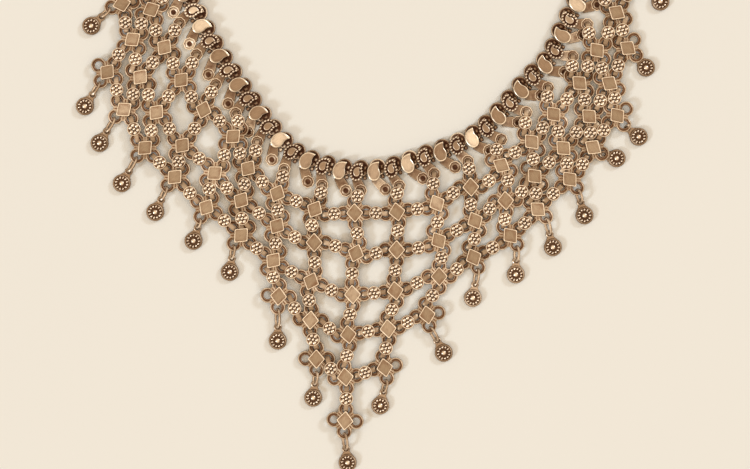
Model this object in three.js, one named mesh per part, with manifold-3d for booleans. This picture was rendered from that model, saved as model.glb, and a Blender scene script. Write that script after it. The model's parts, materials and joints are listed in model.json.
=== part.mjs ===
// Bib necklace, lying flat and open: a collar of comma-shaped links, with a net of strands below it.
// A strand is a row of square-capped quatrefoil plates joined by round rosette links.
// Rosette links also join the plates of one row across to the next strand, and a beaded disc
// hangs on a jump ring from each strand's last plate.
// Millimetres. +X is the wearer's left as the necklace faces the viewer, +Y is towards the
// back of the neck, and +Z is up from the table. The origin is under the middle of the necklace.
import * as THREE from 'three';
import { mergeVertices } from 'three/addons/utils/BufferGeometryUtils.js';
import Module from 'manifold-3d';

const wasm = await Module();
wasm.setup();

// Driving sizes

// Free space kept between two pieces that pass through or lie over each other.
const CLEARANCE = 0.3;
// How far one form stands into the next where they are soldered.
const SEAT = 0.2;
// Slivers thinner than this, left where two outlines nearly meet, are closed.
const SLIVER = 0.05;

// A quatrefoil plate with a rhombic cap in its middle and a pierced lobe at each of four sides.
const PLATE = {
  lobeReach: 4.0,
  lobeRadius: 2.75,
  holeRadius: 1.25,
  notchReach: 2.9,
  thickness: 0.6,
};
const CAP = { halfLength: 3.35, halfWidth: 2.77, height: 1.2 };

// A round rosette link, whose pointed tab ends in a rivet that passes through a pierced lobe.
const ROSETTE = { radius: 2.4, thickness: 1.3 };
const RIVET = { halfNeck: 0.45, halfFoot: 1.3, footThickness: 0.5, tabOverhang: 0.9 };

// A drop: a beaded disc, the tab that holds it, and the jump ring that hangs in the last lobe.
const DROP = { radius: 3.25, thickness: 1.7, tabWidth: 1.4, tabThickness: 1.1 };
const RING = { wire: 0.55, width: 0.6 };

// The collar: a band of overlapping back plates that carries one cap and one eye for each link.
const COLLAR = { links: 73, frontReach: 20, inner: 4.1, outer: 3.4, thickness: 1.5 };
const COMMA = { halfLength: 3.4, halfWidth: 2.4, plainHeight: 1.7, beadedHeight: 2.0 };
const EYE = { radius: 2.3, holeRadius: 1.2, tabHalfWidth: 1.5 };
// Where an eye's hole lies from the middle of its link: along the collar, and away from the neck.
const PLAIN_EYE = { along: 3.6, out: 6.8 };
const BEADED_EYE = { along: 1.8, out: 6.6 };

// A tongue with a wider head, by which each stretch of the collar hooks into the next.
const TONGUE = { neckHalf: 0.8, headHalf: 1.7, neck: 1.2, head: 1.1, root: 0.6 };
// The clasp closes the back, and takes the place of this many links.
const CLASP = { links: 2, thickness: 2.6 };

// Sides of the round shapes.
const ROSETTE_SIDES = 8;
const DISC_SIDES = 10;
const EYE_SIDES = 6;
const HOLE_SIDES = 6;
const PIN_SIDES = 4;
const LOBE_COUNT = 4;
// Steps by which the collar's route is measured, and the distance at which two corners are one.
const ROUTE_DIVISIONS = 1200;
const SAME_POINT = 1e-4;

// Heights that follow from the sizes above.
const FLOOR = 0;
const LOW_PLATE = RIVET.footThickness + CLEARANCE;
const LOW_PLATE_TOP = LOW_PLATE + PLATE.thickness;
const LINK = LOW_PLATE_TOP + CLEARANCE;
const LINK_TOP = LINK + ROSETTE.thickness;
const HIGH_PLATE_TOP = LINK + PLATE.thickness;
const CAP_TOP = LINK + CAP.height;

// The collar's route, anticlockwise from the middle of the front, in millimetres from that middle.
const COLLAR_ROUTE = [
  [-4.9, 0], [7.7, 1.2], [19.8, 5.3], [31.2, 9.4], [40.1, 14.3], [48.6, 22.8], [56.8, 32.4], [64.9, 40.8],
  [70.7, 52.6], [76.0, 63.7], [81.5, 78], [82.5, 97], [70, 116], [44, 128], [6, 131.5], [-32, 128],
  [-59, 116], [-72.5, 97], [-72.8, 78], [-69.5, 70.9], [-64.3, 59.6], [-58.3, 48.1], [-51.4, 37.1],
  [-44.4, 26.9], [-36.9, 16.6], [-27.4, 6.7], [-16.6, 2],
];

// The strands' routes: each plate's middle, and how far it is turned anticlockwise in degrees,
// with the drop's middle last. The key is the strand's place, counted from the centre strand.
const STRAND_ROUTES = {
  '-10': { plates: [[-86.5, 86, -65]], drop: [-97.6, 80.2] },
  '-9': { plates: [[-85.4, 71.2, -60], [-89.3, 60.5, -75]], drop: [-100.6, 52.8] },
  '-8': {
    plates: [[-78.7, 58.5, -64], [-85.5, 47.7, -54], [-94.6, 36, -38]],
    drop: [-102.9, 23.8],
  },
  '-7': {
    plates: [[-74, 44.9, -35], [-82.7, 34.2, -39], [-88.6, 22.5, -53]],
    drop: [-97.6, 10.5],
  },
  '-6': {
    plates: [[-68, 33.1, -41], [-76.9, 21.5, -39], [-81, 8.7, -45]],
    drop: [-89.6, -4],
  },
  '-5': {
    plates: [[-59.9, 22.4, -19], [-67.6, 9.6, -39], [-70.3, -1.8, -43]],
    drop: [-77.5, -14.4],
  },
  '-4': {
    plates: [[-49.3, 12.8, -46], [-55.9, -0.4, -50], [-58.9, -12.7, -32]],
    drop: [-63.7, -24.8],
  },
  '-3': {
    plates: [[-43.9, 1.3, -35], [-46.4, -10.2, -32], [-46.4, -22.8, -43]],
    drop: [-50.6, -36],
  },
  '-2': {
    plates: [[-33.4, -7.7, -25], [-33.5, -19.4, -32], [-34.8, -31.8, -37], [-32.9, -44.7, -5]],
    drop: [-33.3, -60.8],
  },
  '-1': {
    plates: [[-19.9, -13.4, -28], [-20.1, -25.4, 0], [-21.2, -39.3, -22], [-21.4, -53.3, -4],
      [-19.3, -67.3, 0]],
    drop: [-20.5, -81.4],
  },
  0: {
    plates: [[-5.5, -14.7, 2], [-5.1, -29.2, -19], [-6.3, -44.1, 3], [-7.8, -58.5, 7],
      [-8.9, -73.8, 7], [-9, -89.5, -5]],
    drop: [-8.1, -104.8],
  },
  1: {
    plates: [[9.7, -14.3, 10], [9.6, -28, 0], [9.1, -42.7, 8], [6.5, -56.4, 6], [5.3, -70.4, 11]],
    drop: [3.7, -84.2],
  },
  2: {
    plates: [[24.1, -11.3, 27], [24.7, -24.7, 30], [24.9, -37.6, 1], [20.6, -51.4, 10]],
    drop: [26.6, -65.2],
  },
  3: {
    plates: [[36.3, -5.4, 3], [37.8, -17.5, 26], [37.3, -30.7, 25]],
    drop: [37.1, -45.4],
  },
  4: {
    plates: [[47.3, 2.4, 61], [48.8, -10.3, 4], [50.5, -22.9, 38]],
    drop: [52.6, -36.9],
  },
  5: {
    plates: [[58.2, 10.9, 42], [59.3, -1.5, 42], [60.4, -13.4, 48]],
    drop: [66, -27.1],
  },
  6: {
    plates: [[66.1, 20.8, 40], [69.6, 8.6, 45], [71.9, -2.6, 41]],
    drop: [77.4, -15.6],
  },
  7: {
    plates: [[75.4, 32, 47], [78.9, 20, 45], [80.3, 8.9, 56]],
    drop: [89.7, 4.8],
  },
  8: {
    plates: [[81.7, 43.8, 39], [86.2, 31.9, 57], [89, 20.3, 37]],
    drop: [97.2, 12.6],
  },
  9: { plates: [[88.8, 57.4, 58], [92.8, 44.6, 53]], drop: [100.1, 37.1] },
  10: { plates: [[96.5, 70, 60]], drop: [104.8, 61.6] },
};

// A strand hangs from every second link of the collar.
const LINKS_PER_STRAND = 2;

// Materials

function metal(color, roughness) {
  return new THREE.MeshStandardMaterial({ color, roughness, metalness: 0.85 });
}

const AGED_SILVER = metal(0xa38a6d, 0.45);
const BRIGHT_SILVER = metal(0xc4a886, 0.38);
const DARK_SILVER = metal(0x6f5540, 0.6);

// Solids

function solidOf(geometry) {
  const bare = geometry.index ? geometry.toNonIndexed() : geometry.clone();
  bare.deleteAttribute('normal');
  bare.deleteAttribute('uv');
  const merged = mergeVertices(bare, SAME_POINT);
  return new wasm.Manifold(new wasm.Mesh({
    numProp: 3,
    vertProperties: new Float32Array(merged.attributes.position.array),
    triVerts: new Uint32Array(merged.index.array),
  }));
}

function prism(points, bottom, top) {
  const geometry = new THREE.ExtrudeGeometry(new THREE.Shape(points), {
    depth: top - bottom,
    bevelEnabled: false,
  });
  geometry.translate(0, 0, bottom);
  return solidOf(geometry);
}

function joined(solids) {
  return solids.reduce((whole, solid) => whole.add(solid));
}

function meshOf(name, solid, material) {
  const { vertProperties, triVerts } = solid.asOriginal().simplify(SLIVER).getMesh();
  const geometry = new THREE.BufferGeometry();
  geometry.setAttribute('position', new THREE.BufferAttribute(new Float32Array(vertProperties), 3));
  geometry.setIndex(new THREE.BufferAttribute(new Uint32Array(triVerts), 1));
  const faceted = geometry.toNonIndexed();
  faceted.computeVertexNormals();
  const mesh = new THREE.Mesh(faceted, material);
  mesh.name = name;
  return mesh;
}

// Plan geometry

function polar(centre, reach, angle) {
  return new THREE.Vector2(centre.x + reach * Math.cos(angle), centre.y + reach * Math.sin(angle));
}

function roundOutline(centre, radius, sides, start = 0) {
  const outline = [];
  for (let i = 0; i < sides; i += 1) {
    outline.push(polar(centre, radius, start + (2 * Math.PI * i) / sides));
  }
  return outline;
}

// The radius of the polygon's corners that gives it the same area as the circle.
function cornerRadius(radius, sides) {
  const step = (2 * Math.PI) / sides;
  return radius * Math.sqrt(step / Math.sin(step));
}

function headingOf(from, to) {
  return Math.atan2(to.y - from.y, to.x - from.x);
}

function middleOf(a, b) {
  return new THREE.Vector2((a.x + b.x) / 2, (a.y + b.y) / 2);
}

// Plates

const QUARTER = (2 * Math.PI) / LOBE_COUNT;
const LOBES = { right: 0, top: 1, left: 2, bottom: 3 };
// How far a lobe's two outer corners are turned from its tip.
const LOBE_CORNER = Math.PI / 3;

function lobeCentre(plate, lobe) {
  return polar(plate.centre, PLATE.lobeReach, plate.turn + QUARTER * LOBES[lobe]);
}

function plateOutline(plate) {
  const corner = PLATE.lobeRadius / Math.cos(LOBE_CORNER / 2);
  const outline = [];
  for (let i = 0; i < LOBE_COUNT; i += 1) {
    const heading = plate.turn + QUARTER * i;
    const lobe = polar(plate.centre, PLATE.lobeReach, heading);
    outline.push(polar(lobe, corner, heading - LOBE_CORNER));
    outline.push(polar(lobe, PLATE.lobeRadius, heading));
    outline.push(polar(lobe, corner, heading + LOBE_CORNER));
    outline.push(polar(plate.centre, PLATE.notchReach, heading + QUARTER / 2));
  }
  return outline;
}

function capOutline(plate) {
  return [0, 1, 2, 3].map((i) => {
    const reach = i % 2 === 0 ? CAP.halfWidth : CAP.halfLength;
    return polar(plate.centre, reach, plate.turn + QUARTER * i);
  });
}

function hole(centre, radius, heading, sides = HOLE_SIDES) {
  return prism(roundOutline(centre, cornerRadius(radius, sides), sides, heading), FLOOR, CAP_TOP);
}

// The hole under a rosette's tab, square like the pin in it and turned with it.
function pinHole(centre, radius, heading) {
  return hole(centre, radius, heading, PIN_SIDES);
}

// Links

// A square pin that goes down from the links' level, and spreads into a foot on the table.
function rivet(centre, heading) {
  const neck = RIVET.halfNeck * Math.SQRT2;
  const foot = RIVET.halfFoot * Math.SQRT2;
  const pin = prism(
    roundOutline(centre, neck, PIN_SIDES, heading), FLOOR + RIVET.footThickness, LINK + SEAT);
  const spread = new THREE.CylinderGeometry(neck, foot, RIVET.footThickness, PIN_SIDES, 1);
  spread.rotateX(QUARTER);
  spread.rotateZ(heading + QUARTER);
  spread.translate(centre.x, centre.y, FLOOR + RIVET.footThickness / 2);
  return solidOf(spread).add(pin);
}

// A rosette between two holes, with its tab and rivet in the hole that it reaches for.
function reachingRosette(held, reached) {
  const heading = headingOf(held, reached);
  const centre = middleOf(held, reached);
  const outline = roundOutline(centre, cornerRadius(ROSETTE.radius, ROSETTE_SIDES), ROSETTE_SIDES, heading);
  outline[0] = polar(reached, RIVET.tabOverhang, heading);
  return prism(outline, LINK, LINK_TOP).add(rivet(reached, heading));
}

// A rosette soldered between two lobes of the same strand.
function fixedRosette(upper, lower, bottom) {
  const heading = headingOf(upper, lower) + Math.PI / ROSETTE_SIDES;
  const corner = cornerRadius(ROSETTE.radius, ROSETTE_SIDES);
  return prism(roundOutline(middleOf(upper, lower), corner, ROSETTE_SIDES, heading), bottom, LINK_TOP);
}

// Collar

const collarCurve = new THREE.CatmullRomCurve3(
  COLLAR_ROUTE.map(([x, y]) => new THREE.Vector3(x, y, 0)), true, 'centripetal');
collarCurve.arcLengthDivisions = ROUTE_DIVISIONS;
const collarLength = collarCurve.getLength();

// A place on the collar, counted in links from its front middle, with its two directions.
function collarPlace(link) {
  const share = link / COLLAR.links;
  const u = share - Math.floor(share);
  const point = collarCurve.getPointAt(u);
  const tangent = collarCurve.getTangentAt(u);
  return {
    centre: new THREE.Vector2(point.x, point.y),
    along: new THREE.Vector2(tangent.x, tangent.y),
    out: new THREE.Vector2(tangent.y, -tangent.x),
  };
}

function fromPlace(place, along, out) {
  return place.centre.clone().addScaledVector(place.along, along).addScaledVector(place.out, out);
}

function isBeaded(link) {
  return link % LINKS_PER_STRAND === 0;
}

function eyeHole(link) {
  const { along, out } = isBeaded(link) ? BEADED_EYE : PLAIN_EYE;
  return fromPlace(collarPlace(link), along, out);
}

// The comma outline, as shares of its half width and half length: round below, with its tip
// at the neck side bent along the collar.
const COMMA_OUTLINE = [
  [-0.6, 0.8], [0.35, 0.95], [1, 0.3], [0.7, -0.4], [0.95, -0.97], [-0.2, -0.9], [-1, 0],
];

function commaCap(link) {
  const place = collarPlace(link);
  const outline = COMMA_OUTLINE.map(([along, out]) => (
    fromPlace(place, along * COMMA.halfWidth, out * COMMA.halfLength)));
  const height = isBeaded(link) ? COMMA.beadedHeight : COMMA.plainHeight;
  return prism(outline.reverse(), COLLAR.thickness - SEAT, COLLAR.thickness + height);
}

function eye(link) {
  const place = collarPlace(link);
  const centre = eyeHole(link);
  const root = fromPlace(place, 0, COLLAR.outer - SEAT);
  const heading = headingOf(root, centre);
  const ring = roundOutline(centre, cornerRadius(EYE.radius, EYE_SIDES), EYE_SIDES, heading);
  const outline = [
    polar(root, EYE.tabHalfWidth, heading - QUARTER), ...ring.slice(-2), ...ring.slice(0, 3),
    polar(root, EYE.tabHalfWidth, heading + QUARTER),
  ];
  return isBeaded(link)
    ? prism(outline, LOW_PLATE, LOW_PLATE_TOP)
    : prism(outline, FLOOR, RIVET.footThickness);
}

// The band from one place to another, both counted in links from the front middle.
// It turns a little at every second link.
function band(from, to, thickness) {
  const steps = Math.ceil((to - from) / LINKS_PER_STRAND);
  const inner = [];
  const outer = [];
  for (let i = 0; i <= steps; i += 1) {
    const place = collarPlace(from + ((to - from) * i) / steps);
    outer.push(fromPlace(place, 0, COLLAR.outer));
    inner.unshift(fromPlace(place, 0, -COLLAR.inner));
  }
  return prism(outer.concat(inner), FLOOR, thickness);
}

// The tongue that reaches on from a place, or the slot for it when it is grown by the clearance.
function tongue(link, grown, height) {
  const place = collarPlace(link);
  const middle = (COLLAR.outer - COLLAR.inner) / 2;
  const neck = TONGUE.neckHalf + grown;
  const head = TONGUE.headHalf + grown;
  const back = TONGUE.neck - grown;
  const front = TONGUE.neck + TONGUE.head + grown;
  const outline = [
    [-TONGUE.root, neck], [back, neck], [back, head], [front, head],
    [front, -head], [back, -head], [back, -neck], [-TONGUE.root, -neck],
  ].map(([along, out]) => fromPlace(place, along, middle + out));
  return prism(outline.reverse(), FLOOR, height);
}

// Tongues and slots stay under the caps.
const SLOT_HEIGHT = COLLAR.thickness - SEAT;
const TONGUE_HEIGHT = SLOT_HEIGHT - CLEARANCE;

const linkPitch = collarLength / COLLAR.links;
const halfGap = CLEARANCE / 2 / linkPitch;

// A stretch of the collar, hooked into the next one and slotted for the one before.
function stretch(from, to, thickness, fittings, holes) {
  const start = from - 0.5 + halfGap;
  const end = to + 0.5 - halfGap;
  const solid = joined([band(start, end, thickness), tongue(end, 0, TONGUE_HEIGHT), ...fittings]);
  return solid.subtract(joined([tongue(start - 2 * halfGap, CLEARANCE, SLOT_HEIGHT), ...holes]));
}

function collarFront(from, to) {
  const fittings = [];
  const holes = [];
  for (let link = from; link <= to; link += 1) {
    fittings.push(commaCap(link), eye(link));
    const centre = eyeHole(link);
    const strand = strands.get(link / LINKS_PER_STRAND);
    if (strand) {
      const heading = headingOf(lobeCentre(strand.plates[0], 'top'), centre);
      holes.push(pinHole(centre, EYE.holeRadius, heading));
    } else {
      holes.push(hole(centre, EYE.holeRadius, 0));
    }
  }
  return stretch(from, to, COLLAR.thickness, fittings, holes);
}

// Strands

function sideName(strand) {
  if (strand === 0) {
    return 'centre';
  }
  return `${strand < 0 ? 'left' : 'right'}_${Math.abs(strand)}`;
}

const strands = new Map();
for (const [key, route] of Object.entries(STRAND_ROUTES)) {
  strands.set(Number(key), {
    plates: route.plates.map(([x, y, turn]) => ({
      centre: new THREE.Vector2(x, y),
      turn: THREE.MathUtils.degToRad(turn),
    })),
    drop: new THREE.Vector2(...route.drop),
    raised: Number(key) % 2 === 0,
  });
}

const SIDES = [
  { step: -1, own: 'left', facing: 'right' },
  { step: 1, own: 'right', facing: 'left' },
];

function strandSolid(index) {
  const strand = strands.get(index);
  const bottom = strand.raised ? LINK : LOW_PLATE;
  const top = bottom + PLATE.thickness;
  const pieces = [];
  const holes = [];
  const { plates } = strand;
  const first = lobeCentre(plates[0], 'top');
  const collarEye = eyeHole(index * LINKS_PER_STRAND);
  pieces.push(reachingRosette(first, collarEye));
  if (!strand.raised) {
    const post = polar(first, PLATE.lobeRadius - RIVET.halfFoot, headingOf(first, collarEye));
    const foot = roundOutline(post, RIVET.halfFoot, PIN_SIDES, plates[0].turn);
    pieces.push(prism(foot, bottom, LINK + SEAT));
  }
  plates.forEach((plate, row) => {
    pieces.push(prism(plateOutline(plate), bottom, top));
    pieces.push(prism(capOutline(plate), bottom, CAP_TOP));
    if (row + 1 < plates.length) {
      pieces.push(fixedRosette(lobeCentre(plate, 'bottom'), lobeCentre(plates[row + 1], 'top'), bottom));
    } else {
      holes.push(hole(lobeCentre(plate, 'bottom'), PLATE.holeRadius, plate.turn));
    }
    for (const { step, own, facing } of SIDES) {
      const neighbour = strands.get(index + step)?.plates[row];
      const lobe = lobeCentre(plate, own);
      const other = neighbour && lobeCentre(neighbour, facing);
      if (!neighbour) {
        holes.push(hole(lobe, PLATE.holeRadius, plate.turn));
      } else if (strand.raised) {
        pieces.push(reachingRosette(lobe, other));
      } else {
        holes.push(pinHole(lobe, PLATE.holeRadius, headingOf(other, lobe)));
      }
    }
  });
  return joined(pieces).subtract(joined(holes));
}

// A jump ring standing on edge through the lobe's hole, with the disc on a tab beyond the lobe.
function dropSolid(index) {
  const { plates, drop } = strands.get(index);
  const held = lobeCentre(plates[plates.length - 1], 'bottom');
  const heading = headingOf(held, drop);
  const reach = held.distanceTo(drop);
  const near = -RING.wire / 2;
  const far = PLATE.lobeRadius / Math.cos(LOBE_CORNER / 2) + CLEARANCE + RING.wire;
  const height = HIGH_PLATE_TOP + CLEARANCE + RING.wire;
  const outline = new THREE.Shape([
    new THREE.Vector2(near, FLOOR), new THREE.Vector2(far, FLOOR),
    new THREE.Vector2(far, height), new THREE.Vector2(near, height),
  ]);
  outline.holes.push(new THREE.Path([
    new THREE.Vector2(near + RING.wire, FLOOR + RING.wire),
    new THREE.Vector2(near + RING.wire, height - RING.wire),
    new THREE.Vector2(far - RING.wire, height - RING.wire),
    new THREE.Vector2(far - RING.wire, FLOOR + RING.wire),
  ]));
  const ring = new THREE.ExtrudeGeometry(outline, { depth: RING.width, bevelEnabled: false });
  ring.translate(0, 0, -RING.width / 2);
  ring.rotateX(QUARTER);
  ring.rotateZ(heading);
  ring.translate(held.x, held.y, 0);
  const disc = roundOutline(drop, cornerRadius(DROP.radius, DISC_SIDES), DISC_SIDES, heading);
  const side = DROP.tabWidth / 2;
  const start = far - RING.wire;
  const tab = [[start, -side], [reach, -side], [reach, side], [start, side]].map(([s, w]) => (
    polar(polar(held, s, heading), w, heading + QUARTER)));
  return joined([
    solidOf(ring),
    prism(disc, FLOOR, FLOOR + DROP.thickness),
    prism(tab, FLOOR, FLOOR + DROP.tabThickness),
  ]);
}

// The necklace

const necklace = new THREE.Group();
const group = new THREE.Group();
group.add(necklace);

const front = COLLAR.frontReach;
const back = (COLLAR.links - 1 - CLASP.links) / 2;
necklace.add(meshOf('collar_left', collarFront(-front, -1), BRIGHT_SILVER));
necklace.add(meshOf('collar_right', collarFront(0, front), BRIGHT_SILVER));
necklace.add(meshOf('chain_back_left', stretch(-back, -front - 1, COLLAR.thickness, [], []), AGED_SILVER));
necklace.add(meshOf('chain_back_right', stretch(front + 1, back, COLLAR.thickness, [], []), AGED_SILVER));
necklace.add(meshOf('clasp', stretch(back + 1, back + CLASP.links, CLASP.thickness, [], []), DARK_SILVER));
for (const index of strands.keys()) {
  necklace.add(meshOf(`strand_${sideName(index)}`, strandSolid(index), AGED_SILVER));
  necklace.add(meshOf(`drop_${sideName(index)}`, dropSolid(index), DARK_SILVER));
}

// The middle of the whole outline stands over the origin.
const box = new THREE.Box3().setFromObject(necklace);
const middle = box.getCenter(new THREE.Vector3());
necklace.position.set(-middle.x, -middle.y, 0);

export default group;
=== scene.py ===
"""Net bib necklace laid flat: comma links on the collar, capped plates, rosettes and beaded drops.

The frame's own solids give every place. Each small form is built once in millimetres, and
Geometry Nodes lay it wherever the frame shows a plate, a rosette, a collar link or a drop.
"""

from __future__ import annotations

import json
import logging
import math
from dataclasses import dataclass, field
from enum import Enum, IntEnum

import bmesh
import bpy
import numpy as np
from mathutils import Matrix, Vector

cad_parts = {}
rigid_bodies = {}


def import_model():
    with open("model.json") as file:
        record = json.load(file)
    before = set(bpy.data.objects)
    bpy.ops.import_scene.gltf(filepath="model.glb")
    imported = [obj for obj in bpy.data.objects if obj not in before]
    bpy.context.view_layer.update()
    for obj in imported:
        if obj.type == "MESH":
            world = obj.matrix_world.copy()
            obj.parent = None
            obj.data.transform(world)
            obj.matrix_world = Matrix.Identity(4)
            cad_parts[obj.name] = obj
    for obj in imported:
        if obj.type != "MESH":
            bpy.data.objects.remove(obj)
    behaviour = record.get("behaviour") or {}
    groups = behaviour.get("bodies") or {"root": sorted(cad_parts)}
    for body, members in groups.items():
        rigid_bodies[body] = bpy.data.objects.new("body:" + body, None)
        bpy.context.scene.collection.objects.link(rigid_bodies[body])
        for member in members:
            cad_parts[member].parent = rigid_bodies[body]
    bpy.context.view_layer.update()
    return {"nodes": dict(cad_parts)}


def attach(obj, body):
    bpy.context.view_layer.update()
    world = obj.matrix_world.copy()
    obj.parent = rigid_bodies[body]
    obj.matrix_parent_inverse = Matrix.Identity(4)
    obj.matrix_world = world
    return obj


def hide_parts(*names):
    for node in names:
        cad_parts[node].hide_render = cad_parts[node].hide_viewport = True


LOG = logging.getLogger("bib_necklace")

MM = 0.001
FULL_TURN = 2 * math.pi
QUARTER_TURN = FULL_TURN / 4

# Per-point wear: high on rubbed rims, low in hollows, where the colour is darkened with patina and painted
# shade.
WEAR_AND_SHADE = "wear"
LOCAL = "local"
# A random draw per copy: it varies the copy's tone, and its highest values give a painted glint.
TONE = "tone"

Color = tuple[float, float, float]
Point = tuple[float, float, float]
Plan = tuple[float, float]
Edge = tuple[complex, complex]
Profile = list[Point]


def heading_of(arrow: complex) -> float:
    """Gives the heading of an arrow in plan, in radians."""
    return math.atan2(arrow.imag, arrow.real)


def arrow_at(heading: float, length: float = 1.0) -> complex:
    """Gives an arrow of a length at a heading, as a complex number."""
    return length * complex(math.cos(heading), math.sin(heading))


def plan_at(heading: float, reach: float) -> Plan:
    """Gives the point in plan at a heading and a reach from the middle."""
    return (reach * math.cos(heading), reach * math.sin(heading))


class Part(IntEnum):
    """The small forms that are laid, numbered as their collection sorts them."""

    PLATE = 0
    CAP = 1
    POST = 2
    ROSETTE = 3
    STRAP = 4
    PLAIN_COMMA = 5
    BEADED_COMMA = 6
    BACK_PLATE = 7
    HINGE = 8
    EYE = 9
    EYE_TAB = 10
    DROP = 11
    RING = 12
    CLASP = 13


# How far the copies of a form lean at most, in degrees.
LEANS = {
    Part.CAP: 2.5,
    Part.ROSETTE: 4.5,
    Part.PLAIN_COMMA: 3.5,
    Part.BEADED_COMMA: 1.0,
    Part.BACK_PLATE: 1.0,
}


class End(Enum):
    """How a stack of rings ends: filled flat, or joined round to its first ring."""

    FILLED = "filled"
    JOINED = "joined"


# Forms


# Edges that bend by more than this, in degrees, are shaded sharp.
SHARP_ABOVE = 40.0


@dataclass
class Form:
    """A form in millimetres: its points, its faces, and how bright each point is worn; low values darken
    hollows with patina and painted shade.
    """

    points: list[Point] = field(default_factory=list)
    faces: list[tuple[int, ...]] = field(default_factory=list)
    wear: list[float] = field(default_factory=list)

    def stack(self, rings: list[np.ndarray], wear: list[float], end: End = End.FILLED) -> None:
        """Joins a row of rings with the same number of points into one closed shell.

        Args:
            rings: Each ring's points, in order round it.
            wear: How bright each ring is worn, from 0 in a hollow, darkened with patina and painted shade, to
                1 on a rubbed rim.
            end: How the first and the last ring are closed.
        """
        start = len(self.points)
        sides = len(rings[0])
        for ring, worn_and_shaded in zip(rings, wear):
            self.points.extend(tuple(float(value) for value in point) for point in ring)
            self.wear.extend([worn_and_shaded] * sides)
        pairs = len(rings) if end is End.JOINED else len(rings) - 1
        for step in range(pairs):
            low = start + step * sides
            high = start + (step + 1) % len(rings) * sides
            for side in range(sides):
                after = (side + 1) % sides
                self.faces.append((low + side, low + after, high + after, high + side))
        if end is End.FILLED:
            self._fill(start, rings[0], wear[0])
            self._fill(start + (len(rings) - 1) * sides, rings[-1], wear[-1])

    def _fill(self, first: int, ring: np.ndarray, worn_and_shaded: float) -> None:
        """Closes a ring with a fan about its middle."""
        middle = len(self.points)
        self.points.append(tuple(float(value) for value in ring.mean(0)))
        self.wear.append(worn_and_shaded)
        sides = len(ring)
        for side in range(sides):
            self.faces.append((first + side, first + (side + 1) % sides, middle))

    def lathe(
        self,
        profile: Profile,
        sides: int,
        centre: Plan = (0.0, 0.0),
        oval: tuple[float, float] = (1.0, 1.0),
        turn: float = 0.0,
        end: End = End.FILLED,
    ) -> None:
        """Turns a profile round an upright axis.

        Args:
            profile: Rows of radius, height and wear.
            sides: Sides of the turned form.
            centre: Where the axis stands.
            oval: How much the form is stretched along and across its own turn.
            turn: The heading of the first side, in radians.
            end: How the profile is closed.
        """
        angles = FULL_TURN * np.arange(sides) / sides
        across = np.array([math.cos(turn), math.sin(turn)])
        beside = np.array([-math.sin(turn), math.cos(turn)])
        rings = []
        for radius, height, _ in profile:
            plan = np.outer(np.cos(angles) * radius * oval[0], across)
            plan += np.outer(np.sin(angles) * radius * oval[1], beside)
            rings.append(np.column_stack([plan + centre, np.full(sides, height)]))
        self.stack(rings, [row[2] for row in profile], end)

    def dome(
        self,
        centre: Plan,
        radius: float,
        base: float,
        top: float,
        sides: int = 10,
        oval: tuple[float, float] = (1.0, 1.0),
        turn: float = 0.0,
        bright: float = 1.0,
        low: float = 0.05,
    ) -> None:
        """Adds a rounded bead that stands on a flat ground.

        Args:
            centre: The bead's middle in plan.
            radius: Its radius before it is stretched.
            base: Height of the ground.
            top: Height of the bead's top.
            sides: Sides of the bead.
            oval: Stretch along and across its own turn.
            turn: Heading of its first axis, in radians.
            bright: How worn its top is.
            low: How worn its foot is; low values darken the foot with patina and painted shade.
        """
        rise = top - base
        profile = [
            (radius, base - 0.3 * rise, 0.0),
            (radius, base + 0.1 * rise, low),
            (radius * 0.86, base + 0.52 * rise, 0.5 * low + 0.6 * bright),
            (radius * 0.52, base + 0.88 * rise, 0.95 * bright),
            (radius * 0.16, top, bright),
        ]
        self.lathe(profile, sides, centre, oval, turn)

    def sweep(
        self, path: np.ndarray, half_width: float, half_height: float, worn_and_shaded: float, closed: bool
    ) -> None:
        """Draws an oval wire along a path.

        Args:
            path: The wire's middle line.
            half_width: Half of the wire's width, level and across the path.
            half_height: Half of its height.
            worn_and_shaded: Wear along its upper side; the underside is darker, with patina and painted
                shade.
            closed: Whether the path joins its own start.
        """
        sides = 8
        underside = 0.25
        angles = FULL_TURN * (np.arange(sides) + 0.5) / sides
        rings = []
        for step in range(len(path)):
            if closed:
                ahead = path[(step + 1) % len(path)] - path[step - 1]
            else:
                ahead = path[min(step + 1, len(path) - 1)] - path[max(step - 1, 0)]
            ahead = ahead / np.linalg.norm(ahead)
            level = np.cross((0.0, 0.0, 1.0), ahead)
            level = level / np.linalg.norm(level)
            upward = np.cross(ahead, level)
            ring = np.outer(np.cos(angles) * half_width, level)
            ring += np.outer(np.sin(angles) * half_height, upward)
            rings.append(ring + path[step])
        start = len(self.points)
        self.stack(rings, [worn_and_shaded] * len(rings), End.JOINED if closed else End.FILLED)
        for i in range(len(rings) * sides):
            upper = 0.5 + 0.5 * math.sin(angles[i % sides])
            self.wear[start + i] = worn_and_shaded * (underside + (1 - underside) * upper)

    def bar(self, section: Profile, steps: list[tuple[float, float]]) -> None:
        """Adds a bar along X with one section that widens and narrows.

        Args:
            section: The share of the half width, the height and the wear of each corner.
            steps: The place along X and the half width of each section.
        """
        rings = [np.array([(x, share * half, z) for share, z, _ in section]) for x, half in steps]
        start = len(self.wear)
        self.stack(rings, [0.0] * len(rings))
        for i in range(len(rings) * len(section)):
            self.wear[start + i] = section[i % len(section)][2]

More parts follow.
